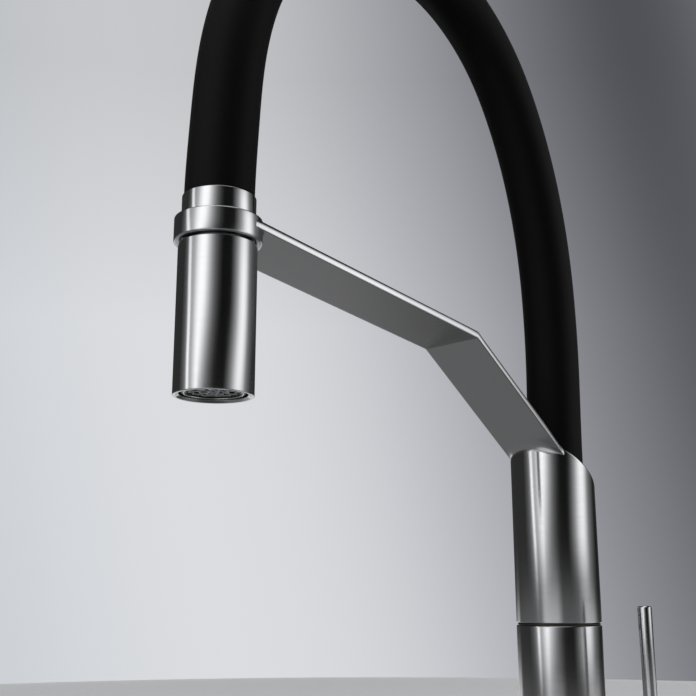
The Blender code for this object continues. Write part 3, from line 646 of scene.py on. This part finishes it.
def pipe(route, radius, sides=64, across=Vector((1, 0, 0))):
    """Round tube mesh along a flat route, closed at its ends."""
    bm = bmesh.new()
    rings = []
    for i, centre in enumerate(route):
        ahead = (route[min(i + 1, len(route) - 1)] - route[max(i - 1, 0)]).normalized()
        out = across.cross(ahead)
        rings.append([bm.verts.new(centre + radius * (math.cos(t) * across + math.sin(t) * out))
                      for t in (2 * math.pi * k / sides for k in range(sides))])
    for a, b in zip(rings, rings[1:]):
        for k in range(sides):
            bm.faces.new((a[k], a[k - 1], b[k - 1], b[k]))
    bm.faces.new(rings[0])
    bm.faces.new(rings[-1])
    return bm


ring_top = ring_high.z
span = dock_y - hose_back
route = [(hose_back, hose_low.z), (hose_back, (hose_low.z + front_z) / 2)]
route += [(hose_back + u * span, front_z + v * (arch_z - front_z)) for u, v in column_leg]
route += [(hose_back + u * span, ring_top + v * (arch_z - ring_top)) for u, v in head_leg]
route += [(dock_y, 291.3 * MM)]
# EPDM: near black, soft broad sheen; its fine grit is drawn at 0.35 mm.
hose_rubber = moulded("epdm_rubber_extruded", "020203", 0.6, 0.35 * MM, 0.012 * MM, specular=0.13)
hose_rubber.node_tree.nodes["Principled BSDF"].inputs["Sheen Weight"].default_value = 0.05
hose_rubber.node_tree.nodes["Principled BSDF"].inputs["Sheen Roughness"].default_value = 0.4
shown("arch_hose", pipe(smooth_route(route, 3 * MM), hose_r, 96), hose_rubber, "spout",
      ["spout_hose"], sharp=50)

# ---------------------------------------------------------------- spray head
# Deep drawn steel tube, satin nickel outside, with a chamfered mouth. The aerator set back in it
# has a black barrel, a steel clip ring and a grey lattice.
low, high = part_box("head_shell")
head_r = (high.x - low.x) / 2
mouth = low.z
throat_r = 14.0 * MM
neck_gap = 10.0 * MM
shown("spray_shell", lathe(softened([(neck_gap, high.z - 3 * MM), (neck_gap, high.z, 0.2 * MM),
                                     (head_r, high.z, 0.6 * MM), (head_r, mouth, 0.3 * MM),
                                     (head_r - 1.1 * MM, mouth, 0.12 * MM),
                                     (throat_r, mouth + 0.8 * MM, 0.15 * MM), (throat_r, mouth + 5 * MM),
                                     (head_r - 1.9 * MM, mouth + 5.2 * MM),
                                     (head_r - 1.9 * MM, high.z - 3 * MM)], 0.1 * MM), 144),
      satin_nickel, "spray_head", ["head_shell"], at=dock)


def turned_ring(name, node, bore, material, body, soft=0.2 * MM, at=(0, 0, 0)):
    """Plain ring or tube in the place of a CAD node, with softened edges."""
    low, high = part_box(node)
    outer = (high.x - low.x) / 2
    outline = softened([(bore, low.z), (outer, low.z), (outer, high.z), (bore, high.z)], soft, 3)
    return shown(name, lathe(outline, 96), material, body, [node], at=at)


# Black ABS from a polished mould: glossy, so that its thin edges catch light.
black_plastic = moulded("abs_black_moulded", "101011", 0.28, 0.5 * MM, 0.004 * MM)
# Stainless steel as turned: a little warmer and duller than the nickel.
steel_turned = turned_metal("stainless_steel_turned", "c4c3c0", 0.2, 0.2 * MM, 0.005 * MM)
web_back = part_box("aerator_insert")[0].z + 2.5 * MM
low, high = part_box("aerator_housing")
barrel = 12.9 * MM
shown("aerator_barrel", lathe(softened([(0, web_back), (0, high.z), (barrel + 1.4 * MM, high.z),
                                        (barrel + 1.4 * MM, low.z + 3.3 * MM), (barrel, low.z + 1.8 * MM),
                                        (barrel, low.z, 0.25 * MM), (barrel - 0.9 * MM, low.z, 0.25 * MM),
                                        (barrel - 1.9 * MM, low.z + 0.9 * MM),
                                        (barrel - 1.9 * MM, web_back)], 0.1 * MM)),
      black_plastic, "spray_head", ["aerator_housing"], at=dock)
wire = 0.34 * MM
clip = [(barrel - 0.95 * MM + wire * math.cos(t), low.z + 0.12 * MM + wire * math.sin(t))
        for t in np.linspace(0, 2 * math.pi, 11)[:-1]]
shown("aerator_clip_ring", lathe(clip), steel_turned, "spray_head", [], at=dock)
low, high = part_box("aerator_insert")
insert_r = (high.x - low.x) / 2
lattice = bmesh.new()


def bar_ring(bm, radius, width, foot, top, wave, petals):
    """A thin ring with a scalloped outline, wave deep and with that many petals."""
    rings = []
    turns = 144
    for k in range(turns):
        t = 2 * math.pi * k / turns
        r = radius + wave * abs(math.sin(petals * t / 2))
        rings.append([bm.verts.new((q * math.cos(t), q * math.sin(t), z))
                      for q, z in ((r, foot), (r + width, foot), (r + width, top), (r, top))])
    for a, b in zip(rings, rings[1:] + rings[:1]):
        for i in range(4):
            bm.faces.new((a[i - 1], b[i - 1], b[i], a[i]))


web_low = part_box("aerator_housing")[0].z + 0.6 * MM
web_top = web_low + 0.6 * MM
for radius, wave, petals in ((8.4 * MM, 1.6 * MM, 12), (4.9 * MM, 1.3 * MM, 8), (1.6 * MM, 0.6 * MM, 6)):
    bar_ring(lattice, radius, 0.34 * MM, web_low, web_top, wave, petals)
for count, first, last_r in ((12, 8.5 * MM, insert_r), (8, 5.0 * MM, 8.6 * MM), (6, 1.8 * MM, 5.1 * MM)):
    for k in range(count):
        t = 2 * math.pi * k / count
        along = Vector((math.cos(t), math.sin(t), 0))
        side_way = Vector((-math.sin(t), math.cos(t), 0)) * 0.22 * MM
        box = [lattice.verts.new(along * r + side_way * s + Vector((0, 0, z)))
               for r in (first, last_r) for s in (-1, 1) for z in (web_low + 0.15 * MM, web_top)]
        for face in ((0, 1, 3, 2), (4, 6, 7, 5), (0, 4, 5, 1), (2, 3, 7, 6), (0, 2, 6, 4), (1, 5, 7, 3)):
            lattice.faces.new([box[i] for i in face])
# Grey acetal, moulded smooth: its bars stay light against the black barrel behind them.
grey_acetal = moulded("acetal_grey_moulded", "8a8c90", 0.3, 0.5 * MM, 0.004 * MM)
shown("aerator_lattice", lattice, grey_acetal, "spray_head", ["aerator_insert"], at=dock)
turned_ring("head_strike_plate", "strike_plate", 9.9 * MM, steel_turned, "spray_head",
            at=dock)
low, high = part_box("head_neck")
# Bare brass as turned: warm yellow with fine bright rings.
brass_turned = turned_metal("brass_turned", "c9a86a", 0.24, 0.25 * MM, 0.006 * MM)
shown("head_neck_turned", lathe(softened([(7.9 * MM, high.z), (9.6 * MM, high.z), (9.6 * MM, low.z),
                                          (3 * MM, low.z), (3 * MM, low.z + 4.6 * MM),
                                          (7.9 * MM, low.z + 4.6 * MM)], 0.3 * MM)),
      brass_turned, "spray_head", ["head_neck"], at=dock)

# ---------------------------------------------------------------- dock magnet and core
# Nickel plated ring magnet pressed into the ring, with a dark nylon core over it that guides the pull hose.
# Nickel plate on a pressed and ground magnet: darker and duller than the faucet's own nickel.
magnet_plate = turned_metal("ndfeb_nickel_plated", "8f8f92", 0.3, 0.3 * MM, 0.004 * MM)
turned_ring("magnet_ring", "dock_magnet", 8.6 * MM, magnet_plate, "spout", 0.4 * MM, at=dock)
# Glass filled nylon from the mould: black with a dull, slightly gritty skin.
nylon = moulded("nylon_black_moulded", "1a1a1c", 0.45, 0.4 * MM, 0.01 * MM)
turned_ring("core_ring", "dock_core", 7.4 * MM, nylon, "spout", 0.4 * MM, at=dock)

# ---------------------------------------------------------------- pull hose
# Nylon hose with a tight diagonal braid of fine yarn, and a steel swivel connector on its end that turns in
# the head. Real yarns are about 0.3 mm wide; here 16 go round each way, so that the weave shows.


def braided(name, colour, shadow, radius, x=0.0, y=0.0):
    """Two sets of yarns that run round the hose at 45 degrees, over and under each other."""
    made, tree, shader = new_finish(name)
    place = add(tree, "ShaderNodeTexCoord").outputs["Object"]
    centred = add(tree, "ShaderNodeVectorMath", {0: place, 1: (x, y, 0)}, operation="SUBTRACT")
    part = add(tree, "ShaderNodeSeparateXYZ", {0: centred.outputs[0]})
    angle = add(tree, "ShaderNodeMath", {0: part.outputs["Y"], 1: part.outputs["X"]}, operation="ARCTAN2")
    yarns = 16
    turn = add(tree, "ShaderNodeMath", {0: angle.outputs[0], 1: float(yarns)}, operation="MULTIPLY")
    rise = add(tree, "ShaderNodeMath", {0: part.outputs["Z"], 1: yarns / radius}, operation="MULTIPLY")
    right = add(tree, "ShaderNodeMath", {0: rise.outputs[0], 1: turn.outputs[0]}, operation="ADD")
    left = add(tree, "ShaderNodeMath", {0: rise.outputs[0], 1: turn.outputs[0]}, operation="SUBTRACT")
    waves = [add(tree, "ShaderNodeMath", {0: way.outputs[0]}, operation="COSINE") for way in (right, left)]
    halves = [add(tree, "ShaderNodeMath", {0: add(tree, "ShaderNodeMath", {0: way.outputs[0], 1: 0.5},
                                                  operation="MULTIPLY").outputs[0]}, operation="SINE")
              for way in (right, left)]
    over = add(tree, "ShaderNodeMath", {0: halves[0].outputs[0], 1: halves[1].outputs[0]},
               operation="MULTIPLY")
    sign = add(tree, "ShaderNodeMath", {0: over.outputs[0], 1: 0.0}, operation="GREATER_THAN")
    lift = add(tree, "ShaderNodeMix",
               {"Factor": sign.outputs[0], "A": waves[0].outputs[0], "B": waves[1].outputs[0]},
               data_type="FLOAT")
    level = add(tree, "ShaderNodeMapRange", {"Value": lift.outputs[0], "From Min": -1.0, "From Max": 1.0})
    # Colour follows the yarn's height: full colour on the crests and the shadow colour in the hollows,
    # painted shade in the weave.
    tone = add(tree, "ShaderNodeMix", {"Factor": level.outputs[0], "A": linear(shadow), "B": linear(colour)},
               data_type="RGBA")
    tree.links.new(tone.outputs["Result"], shader.inputs["Base Color"])
    bump = add(tree, "ShaderNodeBump", {"Height": level.outputs[0], "Strength": 0.8, "Distance": 0.25 * MM})
    tree.links.new(bump.outputs[0], shader.inputs["Normal"])
    shader.inputs["Roughness"].default_value = 0.55
    shader.inputs["Sheen Weight"].default_value = 0.2
    return made


# Grey nylon yarn over a dark core: soft, with light crests and dark gaps. The colour fades from the yarn grey
# on the crests to the dark shadow colour in the gaps, which is painted shade between the yarns.
hose_low, hose_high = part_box("pull_hose_tail")
tail_r = (hose_high.x - hose_low.x) / 2
tail_braid = braided("nylon_yarn_braided", "8b8d91", "2b2c2f", tail_r, 0.0, dock_y)
tail_route = [Vector((0, dock_y, z)) for z in np.linspace(hose_low.z, hose_high.z, 60)]
bm = pipe(tail_route, tail_r, 48)
mesh = bpy.data.meshes.new("hose_tail_braid")
bmesh.ops.recalc_face_normals(bm, faces=bm.faces)
bm.to_mesh(mesh)
bm.free()
mesh.shade_smooth()
mesh.set_sharp_from_angle(angle=math.radians(40))
mesh.materials.append(tail_braid)
tail = link_in(bpy.data.objects.new("hose_tail_braid", mesh))
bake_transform(tail)
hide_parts("pull_hose_tail")

low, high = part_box("hose_connector")
coupling = (high.x - low.x) / 2
seal_low, seal_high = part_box("connector_seal")
waist, groove = coupling - 0.5 * MM, coupling - 1.2 * MM
groove_low, groove_high = seal_low.z - 0.3 * MM, seal_high.z + 0.3 * MM
outline = [(3 * MM, high.z), (coupling, high.z, 0.5 * MM), (coupling, high.z - 3 * MM, 0.2 * MM),
           (waist, high.z - 3.3 * MM, 0.2 * MM), (waist, high.z - 4.2 * MM, 0.2 * MM),
           (coupling, high.z - 4.5 * MM, 0.2 * MM), (coupling, groove_high), (groove, groove_high),
           (groove, groove_low), (coupling, groove_low), (coupling, low.z, 0.4 * MM), (3 * MM, low.z)]
shown("connector_body", lathe(softened(outline, 0.12 * MM)), steel_turned, "hose_end",
      ["hose_connector"], at=dock)
seal_mid, seal_half = (seal_low.z + seal_high.z) / 2, (seal_high.z - seal_low.z) / 2
cord_ring = [(coupling - seal_half + seal_half * math.cos(t), seal_mid + seal_half * math.sin(t))
             for t in np.linspace(0, 2 * math.pi, 17)[:-1]]
shown("connector_o_ring", lathe(cord_ring), gasket_rubber, "hose_end", ["connector_seal"],
      at=dock)

# Below, the hose passes the valve on the side away from the lever, and comes back to the axis above it.
lower_low, lower_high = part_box("pull_hose_lower")
stand = -7.2 * MM
side_step = smooth_route([(0, lower_low.z + 0.1 * MM), (0, -40 * MM), (0, 0), (0, 77.5 * MM), (0, 83.5 * MM),
                          (-stand, 112 * MM), (-stand, lower_high.z)], 4 * MM)
low_route = [Vector((p.y, 0, p.z)) for p in side_step]
shown("hose_below_deck", pipe(low_route, tail_r, 48, Vector((0, 1, 0))),
      braided("nylon_yarn_braided_below", "8b8d91", "2b2c2f", tail_r), "base",
      ["pull_hose_lower"], at=(stand, 0, 0), sharp=50)

# ---------------------------------------------------------------- handle
# Brass hub, turned and plated, and hollow behind so that it rocks on the dome. Its lever is a thin straight
# rod that stands in a small steel collar.
hub_low, hub_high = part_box("handle_hub")
hub_r = (hub_high.y - hub_low.y) / 2
cup_r = dome_r + 0.4 * MM
back = hub_low.x - pivot_x
front = hub_high.x - pivot_x
cup = [(cup_r * math.sin(t), cup_r * math.cos(t))
       for t in np.linspace(math.acos(back / cup_r), 0, 16)]
hub_outline = softened([(0, front), (hub_r, front, 1.1 * MM), (hub_r, back, 0.35 * MM), (cup[0][0], back)], 0)
shown("handle_hub_turned", lathe(hub_outline + cup), satin_nickel, "handle", ["handle_hub"],
      at=(pivot_x, 0, valve_z), turn=(0, math.pi / 2, 0))
lever_low, lever_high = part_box("handle_lever")
rod_r = (lever_high.y - lever_low.y) / 2
rod_x = (lever_low.x + lever_high.x) / 2
shown("handle_rod", lathe(softened([(0, lever_high.z), (rod_r, lever_high.z, 0.9 * MM), (rod_r, lever_low.z),
                                    (0, lever_low.z)], 0.1 * MM), 64),
      satin_nickel, "handle", ["handle_lever"], at=(rod_x, 0, 0))
root_z = valve_z + hub_r - 0.1 * MM
shown("handle_rod_collar", lathe(softened([(rod_r - 0.5 * MM, root_z - 2.2 * MM),
                                           (rod_r + 0.45 * MM, root_z - 2.2 * MM),
                                           (rod_r + 0.45 * MM, root_z + 0.45 * MM, 0.3 * MM),
                                           (rod_r - 0.5 * MM, root_z + 0.45 * MM)], 0.1 * MM), 64),
      steel_turned, "handle", [], at=(rod_x, 0, 0))
plug_low, plug_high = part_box("handle_plug")
plug_x = (plug_low.x + plug_high.x) / 2
plug_r = (plug_high.x - plug_low.x) / 2
plug_z = valve_z - hub_r
shown("handle_screw_plug", lathe(softened([(0, plug_high.z), (plug_r, plug_high.z),
                                           (plug_r, plug_z + 0.02 * MM, 0.2 * MM), (plug_r * 0.6, plug_z),
                                           (0, plug_z)], 0.1 * MM), 48),
      nylon, "handle", ["handle_plug"], at=(plug_x, 0, 0))

# ---------------------------------------------------------------- deck clamp
# Threaded brass shank, rubber and steel washers, and a brass nut with two steel jacking screws. All of it is
# below the deck, with the ends of the three steel water tubes.
low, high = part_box("threaded_shank")
shank_r = (high.x - low.x) / 2


def thread_rows(outer, deep, pitch, foot, top, turn):
    """Outline of a threaded rod at one angle, so that the thread climbs as it goes round."""
    count = max(int((top - foot) / (0.22 * MM)), 4)
    rows = []
    for i in range(count + 1):
        z = foot + (top - foot) * i / count
        phase = (z / pitch - turn / (2 * math.pi)) % 1
        cut = min(max(abs(phase - 0.5) * 2.6 - 0.3, 0), 1)
        fade = min(1, (z - foot) / (1.5 * MM), (top - z) / (1.5 * MM))
        rows.append((outer - deep * (1 - cut) * max(fade, 0.0) - deep * 0.7 * (1 - max(min(fade * 2, 1), 0)),
                     z))
    return rows


shank_in = shank_r - 2.25 * MM


def shank_shape(angle):
    return [(shank_in, low.z), *thread_rows(shank_r, 0.75 * MM, 1.5 * MM, low.z, high.z, angle),
            (shank_in, high.z)]


shown("shank_threaded", lathe(None, 96, shank_shape), brass_turned, "base", ["threaded_shank"],
      sharp=50)
turned_ring("clamp_rubber", "clamp_gasket", bore, gasket_rubber, "base", 0.5 * MM)
turned_ring("clamp_plate", "clamp_washer", bore, steel_turned, "base", 0.4 * MM)
low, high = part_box("mounting_nut")
nut_r = (high.x - low.x) / 2


def nut_shape(angle, sides=12):
    """Outline of a twelve sided nut at one angle, with its corners chamfered."""
    flat = nut_r * math.cos(math.pi / sides)
    here = flat / math.cos((angle % (2 * math.pi / sides)) - math.pi / sides)
    nick = max(0.0, (here - flat) - 0.1 * MM)
    drop, inset = nick * 0.8 + 0.55 * MM, here - nick * 0.9
    return [(bore, low.z + 0.6 * MM), (bore + 0.6 * MM, low.z), (flat - 0.5 * MM, low.z),
            (inset, low.z + 0.3 * MM), (here, low.z + drop), (here, high.z - drop),
            (inset, high.z - 0.3 * MM), (flat - 0.5 * MM, high.z), (bore + 0.6 * MM, high.z),
            (bore, high.z - 0.6 * MM)]


shown("clamp_nut", lathe(None, 144, nut_shape), brass_turned, "base", ["mounting_nut"], sharp=22)
for side in ("left", "right"):
    low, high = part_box("clamp_screw_" + side)
    at = ((low.x + high.x) / 2, 0, 0)
    screw_r, cap_r, cap_h = 2.6 * MM, (high.x - low.x) / 2, 3 * MM

    def screw_shape(angle):
        hexed = cap_r * math.cos(math.pi / 6) / math.cos((angle % (math.pi / 3)) - math.pi / 6)
        return [(0, low.z + 1.6 * MM), (1.4 * MM, low.z + 1.6 * MM), (1.5 * MM, low.z),
                (hexed - 0.4 * MM, low.z), (hexed, low.z + 0.4 * MM), (hexed, low.z + cap_h)] \
            + thread_rows(screw_r, 0.4 * MM, 0.8 * MM, low.z + cap_h, high.z, angle) + [(0, high.z)]

    shown("clamp_bolt_" + side, lathe(None, 72, screw_shape), steel_turned, "base",
          ["clamp_screw_" + side], sharp=30, at=at)
for node in ("hot_inlet_tube", "cold_inlet_tube", "outlet_tube"):
    low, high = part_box(node)
    tube_r = (high.x - low.x) / 2
    middle = ((low.x + high.x) / 2, (low.y + high.y) / 2, 0)
    shown(node.replace("_tube", "_pipe"),
          lathe(softened([(tube_r - 1.2 * MM, low.z), (tube_r, low.z), (tube_r, low.z + 6 * MM, 0.3 * MM),
                          (tube_r - 0.25 * MM, low.z + 6.4 * MM, 0.3 * MM),
                          (tube_r - 0.25 * MM, low.z + 7.4 * MM, 0.3 * MM),
                          (tube_r, low.z + 7.8 * MM, 0.3 * MM), (tube_r, high.z),
                          (tube_r - 1.2 * MM, high.z)], 0.25 * MM, 3), 64),
          steel_turned, "base", [node], at=middle)

# ---------------------------------------------------------------- inside pieces
# Cartridge, seals, bushes and carrier keep their CAD shape; each gets the finish of its real material.
# Acetal, sulphide plastic and fluoropolymer come smooth from the mould or die, with soft, wide highlights.
white_plastic = moulded("pom_white_moulded", "d9d7d1", 0.4, 0.5 * MM, 0.008 * MM)
grey_plastic = moulded("pps_grey_moulded", "515357", 0.45, 0.5 * MM, 0.01 * MM)
acetal = moulded("acetal_moulded", "dedcd6", 0.42, 0.4 * MM, 0.01 * MM)
liner_plastic = moulded("ptfe_extruded", "e4e3df", 0.35, 0.6 * MM, 0.004 * MM)
hidden_braid = braided("nylon_yarn_braided_inside", "8b8d91", "2b2c2f", tail_r)
inside = {
    "swivel_neck": brass_turned, "valve_manifold": brass_turned, "cartridge_nut": brass_turned,
    "hose_carrier": brass_turned, "retaining_ring": steel_turned, "hose_socket": steel_turned,
    "stem_pin": steel_turned, "cartridge_stem": steel_turned, "handle_set_screw": steel_turned,
    "cartridge_seal": gasket_rubber, "aerator_seal": gasket_rubber, "cartridge_body": grey_plastic,
    "check_valve": grey_plastic, "cartridge_rotor": white_plastic, "water_tube": white_plastic,
    "swivel_bush_lower": acetal, "swivel_bush_upper": acetal, "hose_liner": liner_plastic,
    "pull_hose_upper": hidden_braid,
}
for node, finish in inside.items():
    mesh = frame["nodes"][node].data
    mesh.materials.clear()
    mesh.materials.append(finish)
